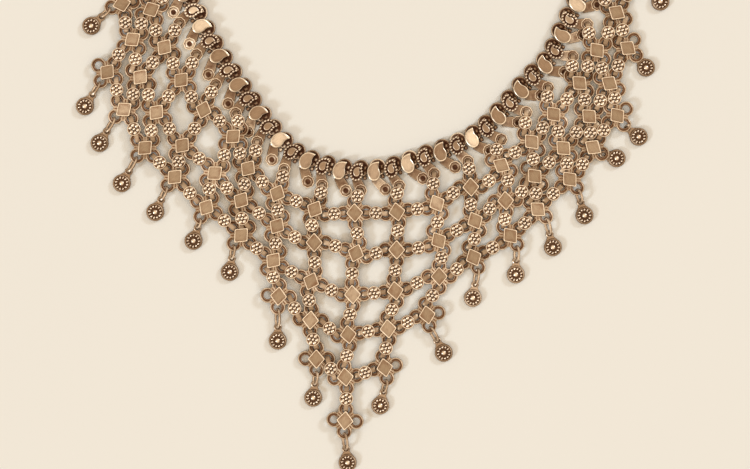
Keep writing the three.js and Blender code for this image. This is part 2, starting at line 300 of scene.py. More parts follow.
    def object(self, name: str) -> bpy.types.Object:
        """Makes the form an object that instances can be taken of.

        Args:
            name: The object's name.

        Returns:
            The new object, in millimetres.
        """
        mesh = bpy.data.meshes.new(name)
        mesh.from_pydata(self.points, [], self.faces)
        shell = bmesh.new()
        shell.from_mesh(mesh)
        bmesh.ops.recalc_face_normals(shell, faces=shell.faces)
        shell.to_mesh(mesh)
        shell.free()
        worn_and_shaded = mesh.attributes.new(WEAR_AND_SHADE, "FLOAT", "POINT")
        worn_and_shaded.data.foreach_set("value", self.wear)
        local = mesh.attributes.new(LOCAL, "FLOAT_VECTOR", "POINT")
        local.data.foreach_set("vector", np.array(self.points, np.float32).ravel())
        mesh.shade_smooth()
        mesh.set_sharp_from_angle(angle=math.radians(SHARP_ABOVE))
        return bpy.data.objects.new(name, mesh)


def closed_curve(corners: np.ndarray, steps: int) -> np.ndarray:
    """Rounds a closed outline with a smooth curve through its corners.

    Args:
        corners: The outline's corners, in order.
        steps: Points from each corner to the next.

    Returns:
        The points of the rounded outline.
    """
    count = len(corners)
    points = []
    for i in range(count):
        before, here, after, beyond = (corners[(i + k) % count] for k in (-1, 0, 1, 2))
        for step in range(steps):
            t = step / steps
            points.append(
                0.5
                * (
                    2 * here
                    + (after - before) * t
                    + (2 * before - 5 * here + 4 * after - beyond) * t**2
                    + (3 * here - before - 3 * after + beyond) * t**3
                )
            )
    return np.array(points)


def evenly_round(outline: np.ndarray, count: int) -> np.ndarray:
    """Takes points at equal steps round a closed outline.

    Args:
        outline: The outline's points.
        count: How many points to take.

    Returns:
        The points taken.
    """
    loop = np.vstack([outline, outline[:1]])
    run = np.concatenate([[0.0], np.cumsum(np.linalg.norm(np.diff(loop, axis=0), axis=1))])
    at = np.arange(count) / count * run[-1]
    return np.column_stack([np.interp(at, run, loop[:, 0]), np.interp(at, run, loop[:, 1])])


def scaled_stack(form: Form, outline: np.ndarray, steps: Profile, centre: Plan = (0.0, 0.0)) -> None:
    """Adds a shell of one outline that is scaled about a centre and lifted, step by step.

    Args:
        form: The form that takes the shell.
        outline: The outline in plan.
        steps: Rows of scale, height and wear.
        centre: The point that the scaling leaves in place.
    """
    middle = np.array(centre)
    rings = []
    for scale, height, _ in steps:
        plan = middle + (outline - middle) * scale
        rings.append(np.column_stack([plan, np.full(len(plan), height)]))
    form.stack(rings, [row[2] for row in steps])


@dataclass(frozen=True)
class PlateForms:
    """The quatrefoil plate, its rhombic cap and the post that carries the cap over a low plate."""

    lobe_reach: float = 4.0
    lobe_radius: float = 2.75
    lobe_sides: int = 26
    web_reach: float = 3.1
    web_sides: int = 12
    hole_radius: float = 1.45
    core_sides: int = 16
    thickness: float = 0.6
    cap_half_length: float = 3.38
    cap_half_width: float = 2.92
    cap_depth: float = 1.0
    corner_radius: float = 0.55
    corner_steps: int = 5
    post_sides: int = 12

    def plate(self) -> Form:
        """Builds the pierced plate, with its bottom at height 0."""
        form = Form()
        top = self.thickness
        lobe = [
            (self.lobe_radius - 0.08, 0.0, 0.0),
            (self.lobe_radius, 0.16, 0.15),
            (self.lobe_radius - 0.02, 0.42, 0.4),
            (self.lobe_radius - 0.12, top + 0.02, 0.82),
            (self.lobe_radius - 0.34, top + 0.04, 0.76),
            (self.lobe_radius - 0.54, top - 0.1, 0.32),
            (self.lobe_radius - 0.7, top - 0.2, 0.1),
            (self.hole_radius + 0.4, top - 0.18, 0.14),
            (self.hole_radius + 0.22, top - 0.02, 0.5),
            (self.hole_radius + 0.06, top - 0.08, 0.35),
            (self.hole_radius - 0.04, top - 0.3, 0.0),
            (self.hole_radius - 0.04, 0.0, 0.0),
        ]
        for quarter in range(4):
            centre = plan_at(quarter * QUARTER_TURN, self.lobe_reach)
            form.lathe(lobe, self.lobe_sides, centre, end=End.JOINED)
        web = [
            (1.0, 0.06, 0.0),
            (1.06, 0.3, 0.3),
            (0.96, top - 0.06, 0.62),
            (0.7, top - 0.02, 0.5),
            (0.3, top - 0.1, 0.3),
        ]
        for quarter in range(4):
            form.lathe(web, self.web_sides, plan_at((quarter + 0.5) * QUARTER_TURN, self.web_reach))
        core = [(2.75, 0.04, 0.0), (2.8, 0.3, 0.1), (2.7, top - 0.14, 0.2), (2.3, top - 0.1, 0.05)]
        form.lathe(core, self.core_sides)
        return form

    def _rhombus(self, inset: float, height: float) -> np.ndarray:
        """Outlines the cap's rhombus with rounded corners, drawn in by an inset, at a height."""
        side = math.hypot(self.cap_half_length, self.cap_half_width)
        half_length = self.cap_half_length - inset * side / self.cap_half_width
        half_width = self.cap_half_width - inset * side / self.cap_half_length
        corners = np.array([(half_width, 0), (0, half_length), (-half_width, 0), (0, -half_length)])
        cut = self.corner_radius * (1 - 0.5 * min(max(inset, 0.0), 1.0))
        outline = []
        for i, corner in enumerate(corners):
            before = corners[i - 1] - corner
            after = corners[(i + 1) % 4] - corner
            first = corner + before / np.linalg.norm(before) * cut
            last = corner + after / np.linalg.norm(after) * cut
            for step in range(self.corner_steps):
                t = step / (self.corner_steps - 1)
                outline.append((1 - t) ** 2 * first + 2 * t * (1 - t) * corner + t**2 * last)
        return np.column_stack([np.array(outline), np.full(len(outline), height)])

    def cap(self) -> Form:
        """Builds the cap, with its rim's top at height 0 and its long axis along Y."""
        form = Form()
        steps = [
            (0.3, -self.cap_depth, 0.0),
            (0.0, -self.cap_depth + 0.1, 0.15),
            (-0.13, -0.4, 0.4),
            (-0.17, -0.14, 0.9),
            (-0.12, -0.02, 1.0),
            (-0.04, 0.0, 1.0),
            (0.1, 0.0, 1.0),
            (0.17, -0.08, 0.6),
            (0.26, -0.12, 0.42),
            (1.3, -0.13, 0.5),
        ]
        rings = [self._rhombus(inset, height) for inset, height, _ in steps]
        form.stack(rings, [row[2] for row in steps])
        return form

    def post(self) -> Form:
        """Builds the round post under the cap of a low plate, with its top at height 0."""
        form = Form()
        form.lathe([(2.1, -1.1, 0.0), (1.9, -0.9, 0.1), (1.9, 0.0, 0.05)], self.post_sides)
        return form


@dataclass(frozen=True)
class RosetteForms:
    """The beaded rosette link and the strap by which it holds a lobe."""

    radius: float = 2.52
    sides: int = 24
    petals: int = 6
    petal_ring: float = 1.42
    petal_radius: float = 0.73
    petal_oval: tuple[float, float] = (1.04, 1.0)
    centre_radius: float = 0.64
    strap_reach: float = 3.4
    strap_half_width: float = 0.9
    strap_half_thickness: float = 0.2
    strap_wear: float = 0.52

    def rosette(self) -> Form:
        """Builds the rosette, with its middle bead's top at height 0."""
        form = Form()
        disc = [
            (self.radius - 0.45, -1.3, 0.0),
            (self.radius - 0.06, -1.12, 0.15),
            (self.radius + 0.02, -0.8, 0.5),
            (self.radius - 0.02, -0.4, 0.9),
            (self.radius - 0.16, -0.26, 1.0),
            (self.radius - 0.34, -0.3, 0.85),
            (self.radius - 0.46, -0.46, 0.2),
            (1.1, -0.48, 0.18),
            (0.8, -0.5, 0.1),
        ]
        form.lathe(disc, self.sides)
        for petal in range(self.petals):
            turn = FULL_TURN * petal / self.petals
            centre = plan_at(turn, self.petal_ring)
            form.dome(
                centre, self.petal_radius, -0.5, -0.06, oval=self.petal_oval, turn=turn, bright=0.96, low=0.34
            )
        form.dome((0.0, 0.0), self.centre_radius, -0.55, 0.0, low=0.2)
        return form

    def strap(self) -> Form:
        """Builds the strap from the rosette's middle along X, bent down into the hole at its end."""
        form = Form()
        end = self.strap_reach
        path = [
            (1.2, -0.95), (end - 1.0, -0.8), (end - 0.3, -0.78), (end + 0.3, -0.95), (end + 0.75, -1.35),
            (end + 0.8, -1.9), (end + 0.3, -2.3), (end - 0.7, -2.42), (end - 1.6, -2.4),
        ]
        middle = np.array([(x, 0.0, z) for x, z in path])
        form.sweep(middle, self.strap_half_width, self.strap_half_thickness, self.strap_wear, closed=False)
        return form


@dataclass(frozen=True)
class CollarForms:
    """The collar's comma caps, back plates, hinges, eyes and clasp. X runs along the collar."""

    half_length: float = 3.4
    half_width: float = 2.4
    corners: tuple[tuple[float, float], ...] = (
        (-0.6, 0.8), (0.35, 0.95), (1.0, 0.3), (0.7, -0.4), (0.95, -0.97), (-0.2, -0.9), (-1.0, 0.0),
    )
    shape: tuple[tuple[float, float], ...] = (
        (-0.55, -0.87), (0.02, -1.0), (0.58, -0.86), (0.93, -0.42), (0.93, -0.02), (0.79, 0.32), (0.84, 0.64),
        (0.93, 0.86), (0.97, 0.95), (0.86, 0.985), (0.45, 0.985), (-0.1, 0.9), (-0.65, 0.62), (-0.97, 0.12),
        (-0.93, -0.42),
    )
    curve_steps: int = 3
    beads: int = 15
    bead_radius: float = 0.5
    bead_sides: int = 9
    bead_ring: float = 0.86
    drop_centre: Plan = (0.1, 0.15)
    plate_sides: int = 28
    knuckles: tuple[float, ...] = (-1.75, 0.0, 1.75)
    knuckle_sides: int = 12
    eye_radius: float = 2.3
    eye_hole: float = 1.2
    eye_height: float = 0.6
    eye_sides: int = 8
    tab_length: float = 4.6
    clasp_half_length: float = 6.15
    clasp_half_width: float = 3.75
    clasp_squareness: float = 0.45
    clasp_sides: int = 40

    def pattern(self) -> np.ndarray:
        """Gives the comma's corners as complex numbers, along the collar and towards the neck."""
        return np.array([complex(x * self.half_width, -y * self.half_length) for x, y in self.corners])

    def _outline(self) -> np.ndarray:
        """Draws the comma's smooth outline, with its tip towards the neck and ahead along the collar."""
        size = np.array([self.half_width, self.half_length])
        return closed_curve(np.array(self.shape) * size, self.curve_steps)

    def plain_comma(self) -> Form:
        """Builds the plain cap, with its rim's top at height 0."""
        form = Form()
        steps = [
            (0.84, -2.1, 0.0),
            (0.92, -1.6, 0.05),
            (0.97, -0.7, 0.2),
            (1.0, -0.35, 0.5),
            (0.98, -0.1, 0.9),
            (0.93, 0.0, 1.0),
            (0.87, -0.03, 0.95),
            (0.83, -0.12, 0.5),
            (0.78, -0.15, 0.45),
            (0.3, -0.1, 0.55),
        ]
        scaled_stack(form, self._outline(), steps)
        return form

    def beaded_comma(self) -> Form:
        """Builds the beaded cap: a ring of beads, a groove and a smooth drop in the middle."""
        form = Form()
        outline = self._outline()
        steps = [
            (0.84, -2.4, 0.0),
            (0.92, -1.8, 0.05),
            (0.99, -0.9, 0.15),
            (1.0, -0.5, 0.4),
            (0.96, -0.32, 0.5),
            (0.7, -0.36, 0.05),
            (0.3, -0.36, 0.05),
        ]
        scaled_stack(form, outline, steps)
        for x, y in evenly_round(outline * self.bead_ring, self.beads):
            form.dome((x, y), self.bead_radius, -0.38, -0.02, sides=self.bead_sides, bright=0.9, low=0.1)
        drop = [
            (0.54, -0.42, 0.0),
            (0.52, -0.2, 0.3),
            (0.47, -0.08, 0.9),
            (0.36, -0.03, 0.62),
            (0.2, 0.0, 0.52),
        ]
        scaled_stack(form, outline, drop, self.drop_centre)
        return form

    def back_plate(self) -> Form:
        """Builds the round back plate, with its rim's top at height 0."""
        form = Form()
        profile = [
            (2.7, -1.05, 0.0),
            (3.0, -0.85, 0.1),
            (3.04, -0.3, 0.35),
            (2.92, -0.06, 0.75),
            (2.7, 0.0, 0.8),
            (2.45, -0.14, 0.3),
            (2.2, -0.2, 0.1),
        ]
        form.lathe(profile, self.plate_sides)
        return form

    def hinge(self) -> Form:
        """Builds the three knuckles of a hinge across the collar, with their axis at height 0."""
        form = Form()
        sides = self.knuckle_sides
        angles = FULL_TURN * np.arange(sides) / sides
        half = [(0.72, 0.45, 0.0), (0.6, 0.68, 0.25), (0.2, 0.78, 0.5)]
        profile = [(-across, radius, worn_and_shaded) for across, radius, worn_and_shaded in half] + half[::-1]
        for middle in self.knuckles:
            rings = []
            for across, radius, _ in profile:
                level = np.full(sides, middle + across)
                rings.append(np.column_stack([np.cos(angles) * radius, level, np.sin(angles) * radius]))
            form.stack(rings, [row[2] for row in profile])
        return form

    def eye(self) -> Form:
        """Builds the eight-sided countersunk eye, with its bottom at height 0."""
        form = Form()
        top = self.eye_height
        profile = [
            (self.eye_radius - 0.1, 0.0, 0.0),
            (self.eye_radius + 0.06, 0.12, 0.2),
            (self.eye_radius + 0.08, top - 0.14, 0.7),
            (self.eye_radius, top, 0.9),
            (self.eye_radius - 0.24, top, 0.85),
            (self.eye_radius - 0.42, top - 0.16, 0.35),
            (self.eye_hole + 0.34, top - 0.12, 0.42),
            (self.eye_hole + 0.18, top, 0.85),
            (self.eye_hole - 0.06, top - 0.06, 0.55),
            # The countersink's foot is worn low, so patina and painted shade darken the hole.
            (self.eye_hole - 0.4, top - 0.36, 0.1),
            (self.eye_hole - 0.6, top - 0.44, 0.12),
        ]
        form.lathe(profile, self.eye_sides, turn=FULL_TURN / (2 * self.eye_sides))
        return form

    def eye_tab(self) -> Form:
        """Builds the tab from an eye's rim back to its link, along X, with its bottom at height 0."""
        form = Form()
        top = self.eye_height
        half = [
            (0.96, 0.0, 0.0),
            (1.0, top - 0.2, 0.35),
            (0.9, top - 0.04, 0.78),
            (0.7, top - 0.14, 0.45),
            (0.25, top - 0.2, 0.42),
        ]
        section = [(-share, height, worn_and_shaded) for share, height, worn_and_shaded in half] + half[::-1]
        form.bar(section, [(1.3, 2.1), (2.2, 2.0), (3.2, 1.85), (self.tab_length, 1.7)])
        return form

    def clasp(self) -> Form:
        """Builds the plain clasp at the back, a pillow with softened edges, with its bottom at height 0."""
        form = Form()
        angles = FULL_TURN * np.arange(self.clasp_sides) / self.clasp_sides
        unit = np.column_stack([np.cos(angles), np.sin(angles)])
        half_sizes = np.array([self.clasp_half_length, self.clasp_half_width])
        plan = np.sign(unit) * np.abs(unit) ** self.clasp_squareness * half_sizes
        steps = [
            (0.94, 0.0, 0.1),
            (1.0, 0.3, 0.3),
            (1.0, 1.9, 0.6),
            (0.97, 2.35, 0.95),
            (0.91, 2.6, 1.0),
            (0.8, 2.55, 0.5),
            (0.4, 2.55, 0.5),
        ]
        scaled_stack(form, plan, steps)
        return form


@dataclass(frozen=True)
class DropForms:
    """The beaded disc with its eye, and the wire ring it hangs on."""

    radius: float = 3.25
    sides: int = 30
    beads: int = 12
    bead_ring: float = 2.06
    bead_radius: float = 0.48
    bead_oval: tuple[float, float] = (1.2, 0.9)
    centre_radius: float = 0.98
    centre_sides: int = 14
    eye_reach: float = 4.9
    eye_hole: float = 0.6
    eye_sides: int = 18
    ring_length: float = 5.0
    ring_half_width: float = 0.74
    ring_lift: float = 1.15
    ring_steps: int = 28
    wire: float = 0.5
    wire_wear: float = 0.82

    def drop(self) -> Form:
        """Builds the disc and its eye, with its bottom at height 0 and its eye towards -X."""
        form = Form()
        disc = [
            (self.radius - 0.35, 0.0, 0.0),
            (self.radius - 0.03, 0.25, 0.15),
            (self.radius + 0.02, 0.95, 0.3),
            (self.radius - 0.12, 1.4, 0.5),
            (self.radius - 0.34, 1.58, 0.66),
            (self.radius - 0.56, 1.5, 0.5),
            (self.radius - 0.7, 1.2, 0.05),
            (0.9, 1.1, 0.0),
        ]
        form.lathe(disc, self.sides)
        for bead in range(self.beads):
            turn = FULL_TURN * (bead + 0.5) / self.beads
            centre = plan_at(turn, self.bead_ring)
            form.dome(
                centre, self.bead_radius, 1.12, 1.54, oval=self.bead_oval, turn=turn, bright=0.92, low=0.15
            )
        form.dome((0.0, 0.0), self.centre_radius, 1.12, 1.7, sides=self.centre_sides, low=0.35)
        eye = [
            (1.35, 0.15, 0.0),
            (1.48, 0.4, 0.3),
            (1.4, 0.9, 0.65),
            (1.15, 1.05, 0.8),
            (0.8, 0.95, 0.5),
            (self.eye_hole, 0.6, 0.05),
            (self.eye_hole, 0.15, 0.0),
        ]
        form.lathe(eye, self.eye_sides, (-self.eye_reach, 0.0), end=End.JOINED)
        half = [(0.9, 0.1, 0.0), (1.0, 0.5, 0.3), (0.85, 0.95, 0.6)]
        section = [(-share, height, worn_and_shaded) for share, height, worn_and_shaded in half] + [(0.0, 1.04, 0.55)] + half[::-1]
        form.bar(section, [(0.9 - self.eye_reach, 1.25), (-3.6, 1.35), (-3.1, 1.7), (-2.6, 2.2)])
        return form

    def ring(self) -> Form:
        """Builds a wire ring along X from the origin, leaning so that it passes over and under a plate."""
        form = Form()
        angles = FULL_TURN * np.arange(self.ring_steps) / self.ring_steps
        along = self.ring_length / 2 * (1 + np.cos(angles))
        across = self.ring_half_width * np.sin(angles)
        path = np.column_stack([along, across, self.ring_lift * np.sin(angles)])
        form.sweep(path, self.wire, self.wire, self.wire_wear, closed=True)
        return form


# Places


@dataclass(frozen=True)
class Place:
    """Where one small form is laid, in millimetres and radians, and how it is stretched."""

    part: Part
    x: float
    y: float
    z: float
    turn: float
    stretch: Point = (1.0, 1.0, 1.0)


@dataclass(frozen=True)
class Levels:
    """Heights in the frame, in millimetres, by which its flat tops are told apart and forms are laid."""

    cap: float = 2.9
    rosette: float = 3.0
    plain_comma: float = 3.2
    beaded_comma: float = 3.5
    disc: float = 1.7
    ring: float = 3.15
    band: float = 1.5
    clasp: float = 2.6
    low_plate: float = 0.8
    high_plate: float = 1.7
    post: float = 2.2
    low_eye: float = 0.0
    high_eye: float = 0.8
    back_plate: float = 1.5
    hinge: float = 0.85
    band_hinge: float = 0.78
    low_ring: float = 1.3
    high_ring: float = 1.68


class Tops:
    """Reads the flat tops of one node of the frame, in millimetres."""

    SLACK = 0.02
    KEYS_PER_MM = 1000
    UPWARD = 0.9

    def __init__(self, node: bpy.types.Object) -> None:
        """Merges the node's corners, which the frame keeps apart for each face."""
        corners = np.array([vertex.co for vertex in node.data.vertices]) / MM
        known: dict[tuple[int, ...], int] = {}
        self.at: list[np.ndarray] = []
        self.faces: list[tuple[int, ...]] = []
        merged = []
        for corner in corners:
            key = tuple(int(value) for value in np.round(corner * self.KEYS_PER_MM))
            if key not in known:
                known[key] = len(self.at)
                self.at.append(corner)
            merged.append(known[key])
        for polygon in node.data.polygons:
            if polygon.normal.z > self.UPWARD:
                self.faces.append(tuple(merged[i] for i in polygon.vertices))

    def corners_at(self, level: float) -> list[complex]:
        """Gives every corner at a level as a complex number."""
        return [complex(*corner[:2]) for corner in self.at if abs(corner[2] - level) < self.SLACK]

    def islands(self, level: float) -> list[list[tuple[int, ...]]]:
        """Groups the upward faces at a level into separate flats.

        Args:
            level: The height of the flats.

        Returns:
            For each flat, its faces.
        """
        level_faces = [f for f in self.faces if all(abs(self.at[i][2] - level) < self.SLACK for i in f)]
        root: dict[int, int] = {}

        def top_of(corner: int) -> int:
            """Follows a corner to the one that stands for its flat."""
            while root.setdefault(corner, corner) != corner:
                corner = root[corner]
            return corner

        for face in level_faces:
            for corner in face[1:]:
                root[top_of(face[0])] = top_of(corner)
        flats: dict[int, list[tuple[int, ...]]] = {}
        for face in level_faces:
            flats.setdefault(top_of(face[0]), []).append(face)
        return list(flats.values())

    def outlines(self, level: float) -> list[np.ndarray]:
        """Gives each flat's corners as complex numbers, anticlockwise about their mean."""
        found = []
        for flat in self.islands(level):
            corners = np.array([complex(*self.at[i][:2]) for i in sorted({i for f in flat for i in f})])
            found.append(corners[np.argsort(np.angle(corners - corners.mean()))])
        return found

    def borders(self, level: float) -> list[list[Edge]]:
        """Gives the border edges of each flat at a level, as pairs of complex numbers."""
        found = []
        for flat in self.islands(level):
            count: dict[tuple[int, int], int] = {}
            for face in flat:
                for a, b in zip(face, face[1:] + face[:1]):
                    key = (min(a, b), max(a, b))
                    count[key] = count.get(key, 0) + 1
            edges = [key for key, times in count.items() if times == 1]
            found.append([(complex(*self.at[a][:2]), complex(*self.at[b][:2])) for a, b in edges])
        return found


def rhombus_place(edges: list[Edge]) -> tuple[complex, float]:
    """Finds the middle and the long axis of a rhombus whose corners may be cut away.

    Args:
        edges: The border of its flat top.

    Returns:
        Its middle, and the heading of its long axis.
    """
    shortest_side, crossing, parallel = 0.5, 0.5, 0.05
    edges = [edge for edge in edges if abs(edge[1] - edge[0]) > shortest_side]
    edges.sort(key=lambda edge: -abs(edge[1] - edge[0]))
    headings = [(b - a) / abs(b - a) for a, b in edges]
    first = headings[0]
    second = next(h for h in headings if abs((h * first.conjugate()).imag) > crossing)
    if (second * first.conjugate()).real < 0:
        second = -second
    rows = []
    values = []
    for heading in (first, second):
        normal = heading * 1j
        reach = []
        for (start, _), other in zip(edges, headings):
            if abs((other * heading.conjugate()).imag) < parallel:
                reach.append((start * normal.conjugate()).real)
        rows.append((normal.real, normal.imag))
        values.append((min(reach) + max(reach)) / 2)
    x, y = np.linalg.solve(np.array(rows), np.array(values))
    return complex(x, y), heading_of(first + second)


def settled(corners: np.ndarray, pattern: np.ndarray) -> tuple[complex, float]:
    """Finds where a known outline lies.

    Args:
        corners: The corners found, anticlockwise about their mean.
        pattern: The known corners about their own origin, in any order.

    Returns:
        The place of the pattern's origin, and its heading.
    """
    pattern = pattern[np.argsort(np.angle(pattern - pattern.mean()))]
    spread = pattern - pattern.mean()
    best = (math.inf, 0j, 0.0)
    for shift in range(len(corners)):
        moved = np.roll(corners, shift)
        turn = np.vdot(spread, moved - moved.mean())
        turn = turn / abs(turn)
        off = float(np.abs(moved - moved.mean() - spread * turn).sum())
        if off < best[0]:
            best = (off, moved.mean() - pattern.mean() * turn, heading_of(turn))
    return best[1], best[2]


def lies_high(name: str) -> bool:
    """Tells whether a strand or drop belongs to a strand whose plates lie over its neighbours' lobes."""
    last = name.rsplit("_", 1)[-1]
    return last == "centre" or int(last) % 2 == 0


@dataclass
class StrandLayout:
    """The places of one strand's plates, caps, posts, rosettes and straps."""

    tops: Tops
    levels: Levels
    forms: PlateForms
    rosettes: RosetteForms
    high: bool
    tab_overhang: float = 0.9
    tab_share: float = 1.2

    def places(self) -> list[Place]:
        """Finds every form of the strand in the frame.

        Returns:
            The places of the strand's forms.
        """
        level = self.levels.high_plate if self.high else self.levels.low_plate
        found = []
        lobes = []
        for edges in self.tops.borders(self.levels.cap):
            centre, axis = rhombus_place(edges)
            turn = axis - QUARTER_TURN
            found.append(Place(Part.PLATE, centre.real, centre.imag, level, turn))
            found.append(Place(Part.CAP, centre.real, centre.imag, self.levels.cap, turn))
            if not self.high:
                found.append(Place(Part.POST, centre.real, centre.imag, self.levels.post, turn))
            plate = len(lobes) // 4
            for quarter in range(4):
                lobe = centre + arrow_at(turn + quarter * QUARTER_TURN, self.forms.lobe_reach)
                lobes.append((plate, lobe))
        for corners in self.tops.outlines(self.levels.rosette):
            found.extend(self._rosette(corners, lobes))
        return found

    def _rosette(self, corners: np.ndarray, lobes: list[tuple[int, complex]]) -> list[Place]:
        """Places a rosette and its two straps, from its top's corners and the strand's lobes.

        Args:
            corners: The corners of its top, with one that sticks out where it has a tab.
            lobes: The middle of each lobe of the strand, with its plate's number.

        Returns:
            The places of the rosette and its straps.
        """
        spread = np.abs(corners - corners.mean())
        tip = int(np.argmax(spread))
        if spread[tip] > self.tab_share * np.median(spread):
            order = np.roll(corners, -tip)
            opposite_pairs = [1, 5, 2, 6, 3, 7]
            centre = complex(np.mean(order[opposite_pairs]))
            arm = order[0] - centre
            reach = abs(arm) - self.tab_overhang
        else:
            centre = complex(corners.mean())
            pairs = [(abs(a + b - 2 * centre), a - centre) for i, a in lobes for j, b in lobes if i < j]
            arm = min(pairs, key=lambda pair: pair[0])[1]
            reach = abs(arm)
        heading = heading_of(arm)
        long = (reach / self.rosettes.strap_reach, 1.0, 1.0)
        top = self.levels.rosette
        found = [Place(Part.ROSETTE, centre.real, centre.imag, top, heading)]
        for turn in (heading, heading + math.pi):
            found.append(Place(Part.STRAP, centre.real, centre.imag, top, turn, long))
        return found


@dataclass
class CollarLayout:
    """The places of one half of the collar's front links, as steps ahead along it and out from the neck."""

    tops: Tops
    levels: Levels
    forms: CollarForms
    pitch: float = 6.219
    plain_eye: Plan = (3.6, 6.8)
    beaded_eye: Plan = (1.8, 6.6)
    tab_root: Plan = (0.0, 2.4)
    back_plate: Plan = (1.6, -1.5)
    hinge_out: float = 0.2

    def places(self) -> list[Place]:
        """Finds every link of this half of the collar.

        Returns:
            The places of the links' forms.
        """
        found = []
        kinds = (
            (Part.PLAIN_COMMA, self.levels.plain_comma, self.plain_eye, self.levels.low_eye),
            (Part.BEADED_COMMA, self.levels.beaded_comma, self.beaded_eye, self.levels.high_eye),
        )
        for part, top, eye, eye_level in kinds:
            for corners in self.tops.outlines(top):
                centre, turn = settled(corners, self.forms.pattern())
                found.append(Place(part, centre.real, centre.imag, top, turn))
                found.extend(self._fittings(centre, turn, eye, eye_level))
        return found

    def _fittings(self, centre: complex, turn: float, eye: Plan, level: float) -> list[Place]:
        """Places a link's back plate, hinge, eye and tab about its comma.

        Args:
            centre: The comma's middle.
            turn: The comma's heading along the collar.
            eye: Where the eye lies.
            level: The height of the eye's bottom.

        Returns:
            The places of the four fittings.
        """

        def at(forward: float, out: float) -> complex:
            """Gives a point ahead along the collar and out from the neck."""
            return centre + arrow_at(turn) * complex(forward, -out)

        plate = at(*self.back_plate)
        hinge = at(self.pitch / 2, self.hinge_out)
        hole = at(*eye)
        back = at(*self.tab_root) - hole
        heading = heading_of(back)
        long = (abs(back) / self.forms.tab_length, 1.0, 1.0)
        return [
            Place(Part.BACK_PLATE, plate.real, plate.imag, self.levels.back_plate, turn),
            Place(Part.HINGE, hinge.real, hinge.imag, self.levels.hinge, turn),
            Place(Part.EYE, hole.real, hole.imag, level, heading),
            Place(Part.EYE_TAB, hole.real, hole.imag, level, heading, long),
        ]


@dataclass
class BandLayout:
    """The places along a plain stretch of the collar behind the neck."""

    tops: Tops
    levels: Levels
    width: float = 7.5
    width_slack: float = 0.06
    inner: float = 4.1
    pitch: float = 6.219
    neck_middle: complex = 5 + 70j
    turning_point: complex = 5 + 60j
    plate_stretch: Point = (1.2, 1.2, 1.0)

    def _round_the_neck(self, point: complex) -> float:
        """Gives how far round the neck a point lies, clockwise from the back, in radians."""
        arm = point - self.turning_point
        return math.atan2(arm.real, arm.imag)

    def middle_line(self, top: float) -> np.ndarray:
        """Gives the stretch's middle line as complex numbers, from one end to the other."""
        corners = self.tops.corners_at(top)
        middles = []
        for i, a in enumerate(corners):
            for b in corners[i + 1:]:
                if abs(abs(a - b) - self.width) < self.width_slack:
                    inside, outside = sorted((a, b), key=lambda p: abs(p - self.neck_middle))
                    middles.append(inside + (outside - inside) * self.inner / self.width)
        return np.array(sorted(middles, key=self._round_the_neck))

    def places(self) -> list[Place]:
        """Lays plain plates and hinges along the stretch at the collar's own pitch.

        Returns:
            The places of the stretch's forms.
        """
        line = self.middle_line(self.levels.band)
        run = np.concatenate([[0.0], np.cumsum(np.abs(np.diff(line)))])

        def along(distance: float) -> complex:
            """Gives the point at a distance along the middle line."""
            return complex(np.interp(distance, run, line.real), np.interp(distance, run, line.imag))

        count = round(run[-1] / self.pitch)
        found = []
        for step in range(count):
            distance = (step + 0.5) / count * run[-1]
            here = along(distance)
            after = along(distance + 0.5 * self.pitch)
            turn = heading_of(after - here)
            found.append(
                Place(Part.BACK_PLATE, here.real, here.imag, self.levels.band, turn, self.plate_stretch)
            )
            found.append(Place(Part.HINGE, after.real, after.imag, self.levels.band_hinge, turn))
        return found


@dataclass
class DropLayout:
    """The places of one drop's disc and of the ring above it."""

    tops: Tops
    levels: Levels
    forms: DropForms
    high: bool
    wire: float = 0.55
    slack: float = 0.75
    low_lift: float = 0.72

    def places(self) -> list[Place]:
        """Finds the drop's disc and its ring.

        Returns:
            The places of the drop's forms.
        """
        disc = complex(self.tops.outlines(self.levels.disc)[0].mean())
        bar = np.array(self.tops.corners_at(self.levels.ring))
        along = (disc - bar.mean()) / abs(disc - bar.mean())
        nearest = min(((corner - disc) * along.conjugate()).real for corner in bar)
        hole = disc + along * (nearest + self.wire / 2 + self.slack)
        turn = heading_of(along)
        length = abs(disc - hole) - self.forms.eye_reach
        height = self.levels.high_ring if self.high else self.levels.low_ring
        lift = 1.0 if self.high else self.low_lift
        stretch = (length / self.forms.ring_length, 1.0, lift)
        return [
            Place(Part.DROP, disc.real, disc.imag, 0.0, turn),
            Place(Part.RING, hole.real, hole.imag, height, turn, stretch),
        ]


@dataclass
class ClaspLayout:
    """The place of the clasp at the middle of the back."""

    tops: Tops
    levels: Levels

    def places(self) -> list[Place]:
        """Lays the clasp over its block in the frame, whose tongue lies lower than its top."""
        top = np.array(self.tops.corners_at(self.levels.clasp))
        x = (top.real.min() + top.real.max()) / 2
        y = (top.imag.min() + top.imag.max()) / 2
        return [Place(Part.CLASP, float(x), float(y), 0.0, 0.0)]


# Laying


